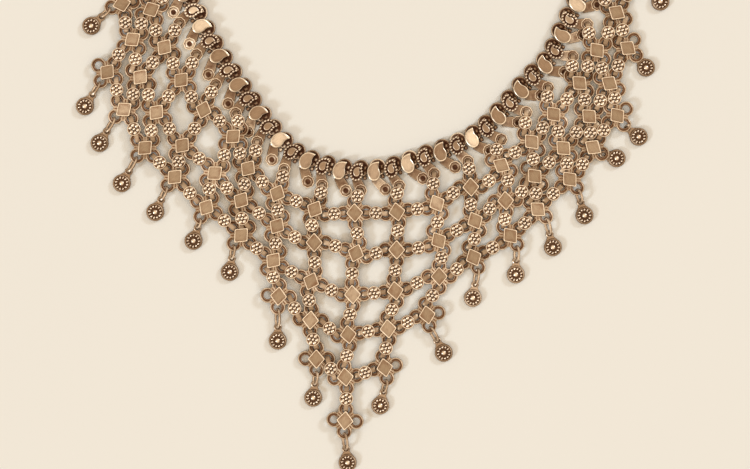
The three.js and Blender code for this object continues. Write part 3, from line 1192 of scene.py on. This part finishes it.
class LayingTree:
    """The node tree that lays small forms at places, turns and stretches them, and dresses them."""

    LEAN_X, LEAN_Y, TONES = 1, 2, 3

    INPUTS = (
        ("Places", "NodeSocketGeometry"),
        ("Forms", "NodeSocketCollection"),
        ("Finish", "NodeSocketMaterial"),
        ("Size", "NodeSocketFloat"),
        ("Seed", "NodeSocketInt"),
    )

    def __init__(self) -> None:
        """Builds the tree once."""
        tree = bpy.data.node_groups.new("Lay the links", "GeometryNodeTree")
        self.tree = tree
        for name, kind in self.INPUTS:
            tree.interface.new_socket(name=name, in_out="INPUT", socket_type=kind)
        tree.interface.new_socket(name="Piece", in_out="OUTPUT", socket_type="NodeSocketGeometry")
        given = tree.nodes.new("NodeGroupInput")
        part = self._named("part", "INT")
        turn = self._named("turn", "FLOAT")
        stretch = self._named("stretch", "FLOAT_VECTOR")
        forms = self._node("GeometryNodeCollectionInfo", {"Separate Children": True, "Reset Children": True})
        self._link(given.outputs["Forms"], forms.inputs["Collection"])
        size = self._node("ShaderNodeVectorMath", {}, operation="SCALE")
        self._link(stretch, size.inputs["Vector"])
        self._link(given.outputs["Size"], size.inputs["Scale"])
        lean = self._named("lean", "FLOAT")
        lean_x = self._random(given, self.LEAN_X, lean)
        lean_y = self._random(given, self.LEAN_Y, lean)
        heading = self._node("ShaderNodeCombineXYZ", {})
        self._link(lean_x, heading.inputs["X"])
        self._link(lean_y, heading.inputs["Y"])
        self._link(turn, heading.inputs["Z"])
        laid = self._node("GeometryNodeInstanceOnPoints", {"Pick Instance": True})
        self._link(given.outputs["Places"], laid.inputs["Points"])
        self._link(forms.outputs["Instances"], laid.inputs["Instance"])
        self._link(part, laid.inputs["Instance Index"])
        self._link(heading.outputs["Vector"], laid.inputs["Rotation"])
        self._link(size.outputs["Vector"], laid.inputs["Scale"])
        # The random draw stored here sets each copy's tone and its painted glint.
        tone = self._node("GeometryNodeStoreNamedAttribute", {"Name": TONE}, domain="INSTANCE")
        self._link(laid.outputs["Instances"], tone.inputs["Geometry"])
        self._link(self._random(given, self.TONES), tone.inputs["Value"])
        whole = self._node("GeometryNodeRealizeInstances", {})
        self._link(tone.outputs["Geometry"], whole.inputs["Geometry"])
        dressed = self._node("GeometryNodeSetMaterial", {})
        self._link(whole.outputs["Geometry"], dressed.inputs["Geometry"])
        self._link(given.outputs["Finish"], dressed.inputs["Material"])
        result = tree.nodes.new("NodeGroupOutput")
        self._link(dressed.outputs["Geometry"], result.inputs["Piece"])

    def _node(self, kind: str, values: dict[str, object], **settings: object) -> bpy.types.Node:
        """Adds a node with its settings first and its values after."""
        node = self.tree.nodes.new(kind)
        for key, value in settings.items():
            setattr(node, key, value)
        for key, value in values.items():
            node.inputs[key].default_value = value
        return node

    def _link(self, source: bpy.types.NodeSocket, target: bpy.types.NodeSocket) -> None:
        """Joins two sockets."""
        self.tree.links.new(source, target)

    def _named(self, name: str, kind: str) -> bpy.types.NodeSocket:
        """Reads an attribute of the places."""
        node = self._node("GeometryNodeInputNamedAttribute", {"Name": name}, data_type=kind)
        return node.outputs["Attribute"]

    def _random(
        self, given: bpy.types.Node, stream: int, limit: bpy.types.NodeSocket | None = None
    ) -> bpy.types.NodeSocket:
        """Draws a number for each place, between plus and minus a limit, or from 0 to 1 without one.

        Args:
            given: The tree's inputs.
            stream: The number that is added to the seed.
            limit: The largest draw.

        Returns:
            The number drawn.
        """
        seed = self._node("ShaderNodeMath", {1: float(stream)}, operation="ADD")
        self._link(given.outputs["Seed"], seed.inputs[0])
        draw = self._node("FunctionNodeRandomValue", {}, data_type="FLOAT")
        self._link(seed.outputs[0], draw.inputs["Seed"])
        if limit is not None:
            low, high = (s for s in draw.inputs if s.enabled and s.name in ("Min", "Max"))
            below = self._node("ShaderNodeMath", {1: -1.0}, operation="MULTIPLY")
            self._link(limit, below.inputs[0])
            self._link(below.outputs[0], low)
            self._link(limit, high)
        return next(s for s in draw.outputs if s.enabled)

    def lay(
        self,
        name: str,
        places: list[Place],
        forms: bpy.types.Collection,
        finish: bpy.types.Material,
        seed: int,
    ) -> bpy.types.Object:
        """Lays forms at their places as one plain mesh.

        Args:
            name: The piece's name.
            places: Where each form goes.
            forms: The collection of small forms.
            finish: The piece's material.
            seed: Seed of the leans, the tones and the painted glints.

        Returns:
            The piece, at the origin and without modifiers.
        """
        points = bpy.data.meshes.new(name + "_places")
        points.from_pydata([(p.x * MM, p.y * MM, p.z * MM) for p in places], [], [])
        columns = (
            ("part", "INT", "value", [int(p.part) for p in places]),
            ("turn", "FLOAT", "value", [p.turn for p in places]),
            ("lean", "FLOAT", "value", [math.radians(LEANS.get(p.part, 0.0)) for p in places]),
            ("stretch", "FLOAT_VECTOR", "vector", [v for p in places for v in p.stretch]),
        )
        for label, kind, key, values in columns:
            points.attributes.new(label, kind, "POINT").data.foreach_set(key, values)
        piece = bpy.data.objects.new(name, points)
        bpy.context.scene.collection.objects.link(piece)
        modifier = piece.modifiers.new("Lay", "NODES")
        modifier.node_group = self.tree
        values = {"Forms": forms, "Finish": finish, "Size": MM, "Seed": seed}
        for item in self.tree.interface.items_tree:
            if item.item_type == "SOCKET" and item.in_out == "INPUT" and item.name in values:
                modifier[item.identifier] = values[item.name]
        graph = bpy.context.evaluated_depsgraph_get()
        mesh = bpy.data.meshes.new_from_object(
            piece.evaluated_get(graph), preserve_all_data_layers=True, depsgraph=graph
        )
        piece.modifiers.clear()
        piece.data = mesh
        mesh.name = name
        bpy.data.meshes.remove(points)
        return piece


# Finishes


# The colour sockets of a Mix node.
MIX_FIRST, MIX_SECOND, MIX_RESULT = 6, 7, 2


class Socket:
    """A socket of a shader tree, on which operators add Math nodes."""

    def __init__(self, shading: "Shading", socket: bpy.types.NodeSocket) -> None:
        """Keeps the socket and the tree it belongs to."""
        self.shading = shading
        self.socket = socket

    def __add__(self, other: "Socket | float") -> "Socket":
        """Adds."""
        return self.shading.maths("ADD", self, other)

    def __radd__(self, other: float) -> "Socket":
        """Adds to a number."""
        return self.shading.maths("ADD", other, self)

    def __sub__(self, other: "Socket | float") -> "Socket":
        """Subtracts."""
        return self.shading.maths("SUBTRACT", self, other)

    def __rsub__(self, other: float) -> "Socket":
        """Subtracts from a number."""
        return self.shading.maths("SUBTRACT", other, self)

    def __mul__(self, other: "Socket | float") -> "Socket":
        """Multiplies."""
        return self.shading.maths("MULTIPLY", self, other)

    def __rmul__(self, other: float) -> "Socket":
        """Multiplies a number."""
        return self.shading.maths("MULTIPLY", other, self)


class Shading:
    """A material's node tree, with one method for each kind of step."""

    def __init__(self, name: str) -> None:
        """Starts an empty material."""
        self.material = bpy.data.materials.new(name)
        self.material.use_nodes = True
        self.tree = self.material.node_tree
        self.tree.nodes.clear()

    def node(
        self,
        kind: str,
        settings: dict[str, object],
        values: dict[str | int, object],
        output: str | int = 0,
    ) -> Socket:
        """Adds a node.

        Args:
            kind: The node's type.
            settings: Its settings, which are made first.
            values: The values or links of its sockets.
            output: The output that is wanted.

        Returns:
            That output.
        """
        made = self.tree.nodes.new(kind)
        for key, value in settings.items():
            setattr(made, key, value)
        for key, value in values.items():
            if isinstance(value, Socket):
                self.tree.links.new(value.socket, made.inputs[key])
            else:
                made.inputs[key].default_value = value
        return Socket(self, made.outputs[output])

    def maths(self, operation: str, first: Socket | float, second: Socket | float) -> Socket:
        """Adds a Math node on two values."""
        return self.node("ShaderNodeMath", {"operation": operation}, {0: first, 1: second})

    def ramp(self, value: Socket, low: float, high: float) -> Socket:
        """Turns a value smoothly from 0 at one limit to 1 at the other."""
        return self.node(
            "ShaderNodeMapRange",
            {"interpolation_type": "SMOOTHSTEP"},
            {"Value": value, "From Min": low, "From Max": high, "To Min": 0.0, "To Max": 1.0},
        )

    def blend(
        self, share: Socket | float, first: Socket | Color, second: Socket | Color, how: str = "MIX"
    ) -> Socket:
        """Mixes two colours.

        Args:
            share: The second colour's share.
            first: The first colour.
            second: The second colour.
            how: The way of mixing.

        Returns:
            The mixed colour.
        """
        values: dict[str | int, object] = {0: share}
        for slot, color in ((MIX_FIRST, first), (MIX_SECOND, second)):
            values[slot] = color if isinstance(color, Socket) else (*color, 1.0)
        return self.node("ShaderNodeMix", {"data_type": "RGBA", "blend_type": how}, values, MIX_RESULT)

    def noise(self, at: Socket, scale: float, detail: float) -> Socket:
        """Draws noise from 0 to 1 at the given coordinates."""
        return self.node("ShaderNodeTexNoise", {}, {"Vector": at, "Scale": scale, "Detail": detail})

    def attribute(self, name: str, output: str) -> Socket:
        """Reads an attribute of the piece."""
        return self.node("ShaderNodeAttribute", {"attribute_name": name}, {}, output)

    def finish(self, values: dict[str | int, object]) -> bpy.types.Material:
        """Gives the material its surface, with these values or links."""
        surface = self.node("ShaderNodeBsdfPrincipled", {}, values)
        output = self.tree.nodes.new("ShaderNodeOutputMaterial")
        self.tree.links.new(surface.socket, output.inputs["Surface"])
        return self.material


@dataclass(frozen=True)
class Finish:
    """An aged metal finish: patina plus painted shade in the hollows, brushed flats, rubbed rims and a
    painted glint on a few random copies.
    """

    name: str
    hollow: Color
    ground: Color
    flat: Color
    rim: Color
    slot: str
    flat_roughness: float = 0.44
    rim_roughness: float = 0.31
    painted_glint: float = 0.35

    def material(self) -> bpy.types.Material:
        """Builds the finish.

        Returns:
            The material.
        """
        shading = Shading(self.name)
        worn_and_shaded = shading.attribute(WEAR_AND_SHADE, "Fac")
        tone = shading.attribute(TONE, "Fac")
        local = shading.attribute(LOCAL, "Vector")
        place = shading.node("ShaderNodeTexCoord", {}, {}, "Object")
        mottle = shading.noise(place, scale=420.0, detail=3.0)
        grit = shading.noise(place, scale=2600.0, detail=2.0)
        brushed = shading.node("ShaderNodeMapping", {}, {"Vector": local, "Scale": (2.6, 0.3, 0.3)})
        streak = shading.noise(brushed, scale=1.6, detail=4.0)
        height = worn_and_shaded + (mottle - 0.5) * 0.34 + (grit - 0.5) * 0.12
        open_ground = shading.ramp(height, low=0.02, high=0.3)
        open_flat = shading.ramp(height, low=0.3, high=0.52)
        rubbed = shading.ramp(height, low=0.66, high=0.98)
        # Low wear takes the hollow colour: patina plus painted shade in crevices, holes and at the feet of
        # walls.
        color = shading.blend(open_ground, self.hollow, self.ground)
        color = shading.blend(open_flat, color, self.flat)
        color = shading.blend(rubbed, color, self.rim)
        # A few copies drawn at random get a painted glint: their flats blend towards the rim colour.
        square = tone * tone
        painted_glint_share = square * square * square * (self.painted_glint * open_flat)
        color = shading.blend(painted_glint_share, color, self.rim)
        shade = 0.48 + streak * 0.84 + tone * 0.12
        color = shading.blend(1.0, color, self._grey(shading, shade), "MULTIPLY")
        roughness = self.flat_roughness + (self.rim_roughness - self.flat_roughness) * rubbed
        roughness = roughness + (streak - 0.5) * 0.2 + (1 - open_flat) * 0.16
        metallic = 0.4 + open_flat * 0.52
        relief = streak * 0.5 + grit * 0.5
        bump = {"Strength": 0.16, "Distance": 0.1 * MM, "Height": relief}
        normal = shading.node("ShaderNodeBump", {}, bump)
        return shading.finish(
            {
                "Base Color": color,
                "Roughness": roughness,
                "Metallic": metallic,
                "Normal": normal,
                "Specular IOR Level": 0.15,
            }
        )

    @staticmethod
    def _grey(shading: Shading, value: Socket) -> Socket:
        """Turns a value into a grey of that brightness."""
        return shading.node("ShaderNodeCombineColor", {}, {0: value, 1: value, 2: value})


class Finishes(Enum):
    """The necklace's finishes."""

    NET = Finish(
        "aged_net_silver",
        hollow=(0.072, 0.024, 0.006),
        ground=(0.272, 0.128, 0.058),
        flat=(0.388, 0.283, 0.184),
        rim=(1.0, 0.84, 0.66),
        slot="aged_silver",
    )
    COLLAR = Finish(
        "rubbed_collar_silver",
        hollow=(0.05, 0.015, 0.005),
        ground=(0.2, 0.092, 0.046),
        flat=(0.362, 0.246, 0.155),
        rim=(1.0, 0.85, 0.66),
        slot="bright_silver",
        painted_glint=1.0,
    )
    BACK = Finish(
        "dull_back_silver",
        hollow=(0.06, 0.024, 0.012),
        ground=(0.18, 0.094, 0.054),
        flat=(0.355, 0.255, 0.18),
        rim=(0.8, 0.62, 0.44),
        slot="aged_silver",
    )
    DROPS = Finish(
        "oxidised_drop_silver",
        hollow=(0.11, 0.052, 0.024),
        ground=(0.25, 0.14, 0.075),
        flat=(0.385, 0.265, 0.168),
        rim=(1.0, 0.84, 0.66),
        slot="dark_silver",
        flat_roughness=0.42,
        rim_roughness=0.28,
    )


# Setting


@dataclass(frozen=True)
class Window:
    """A far window: the way to it, how strong and how broad its light is, and its colour."""

    name: str
    towards: Point
    strength: float
    color: Color = (0.79, 0.9, 1.0)
    breadth: float = 11.0

    def light(self) -> None:
        """Lets the window's light fall on the table."""
        lamp = bpy.data.lights.new(self.name, "SUN")
        lamp.energy = self.strength
        lamp.angle = math.radians(self.breadth)
        lamp.color = self.color
        light = bpy.data.objects.new(self.name, lamp)
        light.rotation_euler = (-Vector(self.towards)).to_track_quat("-Z", "Y").to_euler()
        bpy.context.scene.collection.objects.link(light)


@dataclass(frozen=True)
class Setting:
    """The pale table, a warm soft sky with two cool windows, and the camera straight above."""

    centre: Plan = (0.867, -35.88)
    view_width: float = 270.0
    camera_height: float = 650.0
    middle_height: float = 2.5
    sensor: float = 36.0
    table: Color = (0.772, 0.77, 0.73)
    sky_low: Color = (0.42, 0.326, 0.235)
    sky_high: Color = (1.345, 1.13, 0.9)
    sky_top: Point = (0.0, -0.1, 0.99)
    sky_edge: float = 0.45
    table_half: float = 3.0
    table_drop: float = 0.00002
    windows: tuple[Window, ...] = (
        Window("lower_left_window", (-0.74, -0.43, 0.51), 1.27),
        Window("upper_right_window", (0.69, 0.51, 0.51), 0.99),
    )

    def camera(self) -> None:
        """Sets the camera straight above the part of the necklace that the photo shows."""
        lens = bpy.data.cameras.new("camera")
        lens.sensor_width = self.sensor
        lens.lens = self.sensor * (self.camera_height - self.middle_height) / self.view_width
        camera = bpy.data.objects.new("camera", lens)
        camera.location = (self.centre[0] * MM, self.centre[1] * MM, self.camera_height * MM)
        bpy.context.scene.collection.objects.link(camera)
        bpy.context.scene.camera = camera

    def table_top(self) -> None:
        """Lays the pale table under the necklace."""
        half = self.table_half
        corners = [(-half, -half, 0), (half, -half, 0), (half, half, 0), (-half, half, 0)]
        mesh = bpy.data.meshes.new("table_top")
        mesh.from_pydata(corners, [], [(0, 1, 2, 3)])
        shading = Shading("pale_table")
        place = shading.node("ShaderNodeTexCoord", {}, {}, "Object")
        cloud = shading.noise(place, 6.0, 2.0)
        color = shading.blend(cloud, self.table, tuple(value * 1.03 for value in self.table))
        mesh.materials.append(shading.finish({"Base Color": color, "Roughness": 0.85}))
        table = bpy.data.objects.new("table_top", mesh)
        table.location.z = -self.table_drop
        bpy.context.scene.collection.objects.link(table)

    def light(self) -> None:
        """Lights the table with a soft sky, brightest overhead, and with the windows."""
        world = bpy.data.worlds.new("soft_sky")
        world.use_nodes = True
        tree = world.node_tree
        place = tree.nodes.new("ShaderNodeTexCoord")
        towards = tree.nodes.new("ShaderNodeVectorMath")
        towards.operation = "DOT_PRODUCT"
        towards.inputs[1].default_value = Vector(self.sky_top).normalized()
        tree.links.new(place.outputs["Generated"], towards.inputs[0])
        share = tree.nodes.new("ShaderNodeMapRange")
        share.inputs["From Min"].default_value = self.sky_edge
        share.inputs["From Max"].default_value = 1.0
        tree.links.new(towards.outputs["Value"], share.inputs["Value"])
        mix = tree.nodes.new("ShaderNodeMix")
        mix.data_type = "RGBA"
        mix.inputs[MIX_FIRST].default_value = (*self.sky_low, 1.0)
        mix.inputs[MIX_SECOND].default_value = (*self.sky_high, 1.0)
        tree.links.new(share.outputs["Result"], mix.inputs[0])
        tree.links.new(mix.outputs[MIX_RESULT], tree.nodes["Background"].inputs["Color"])
        bpy.context.scene.world = world
        for window in self.windows:
            window.light()
        bpy.context.scene.view_settings.view_transform = "Standard"


# The necklace


class Necklace:
    """The whole necklace: reads its places from the frame and lays one dressed piece for each node."""

    # The seed also picks which copies get a painted glint.
    SEED = 42
    SEEDS_APART = 10

    def __init__(self, nodes: dict[str, bpy.types.Object]) -> None:
        """Builds the small forms, the finishes and the laying tree."""
        self.nodes = nodes
        self.levels = Levels()
        self.plates = PlateForms()
        self.rosettes = RosetteForms()
        self.collar = CollarForms()
        self.drops = DropForms()
        self.forms = self._collection()
        self.tree = LayingTree()
        self.materials = {finish: finish.value.material() for finish in Finishes}

    def _collection(self) -> bpy.types.Collection:
        """Puts one object of each small form into a collection, in the order of their numbers."""
        made = {
            Part.PLATE: self.plates.plate(),
            Part.CAP: self.plates.cap(),
            Part.POST: self.plates.post(),
            Part.ROSETTE: self.rosettes.rosette(),
            Part.STRAP: self.rosettes.strap(),
            Part.PLAIN_COMMA: self.collar.plain_comma(),
            Part.BEADED_COMMA: self.collar.beaded_comma(),
            Part.BACK_PLATE: self.collar.back_plate(),
            Part.HINGE: self.collar.hinge(),
            Part.EYE: self.collar.eye(),
            Part.EYE_TAB: self.collar.eye_tab(),
            Part.DROP: self.drops.drop(),
            Part.RING: self.drops.ring(),
            Part.CLASP: self.collar.clasp(),
        }
        forms = bpy.data.collections.new("small_forms")
        bpy.context.scene.collection.children.link(forms)
        for part, form in made.items():
            forms.objects.link(form.object(f"form_{int(part):02d}_{part.name.lower()}"))
        return forms

    def _layout(self, name: str) -> tuple[list[Place], Finishes]:
        """Finds the places and the finish that dress one node."""
        tops = Tops(self.nodes[name])
        if name.startswith("strand"):
            layout = StrandLayout(tops, self.levels, self.plates, self.rosettes, lies_high(name))
            return layout.places(), Finishes.NET
        if name.startswith("drop"):
            return DropLayout(tops, self.levels, self.drops, lies_high(name)).places(), Finishes.DROPS
        if name.startswith("collar"):
            return CollarLayout(tops, self.levels, self.collar).places(), Finishes.COLLAR
        if name.startswith("chain_back"):
            return BandLayout(tops, self.levels).places(), Finishes.BACK
        return ClaspLayout(tops, self.levels).places(), Finishes.DROPS

    def build(self) -> None:
        """Lays and dresses a piece for every node of the frame."""
        for number, name in enumerate(sorted(self.nodes)):
            places, finish = self._layout(name)
            seed = self.SEED + self.SEEDS_APART * number
            piece = self.tree.lay(f"{name}_dressed", places, self.forms, self.materials[finish], seed)
            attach(piece, "root")
            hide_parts(name)
            LOG.info("%s: %d forms, %d faces", piece.name, len(places), len(piece.data.polygons))
        for form in list(self.forms.objects):
            bpy.data.objects.remove(form)
        bpy.data.collections.remove(self.forms)


def main() -> None:
    """Loads the frame, sets the scene and builds the necklace."""
    logging.basicConfig(level=logging.INFO, format="%(message)s")
    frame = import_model()
    setting = Setting()
    setting.camera()
    setting.table_top()
    setting.light()
    Necklace(frame["nodes"]).build()
    bpy.context.view_layer.update()


if __name__ == "__main__":
    main()
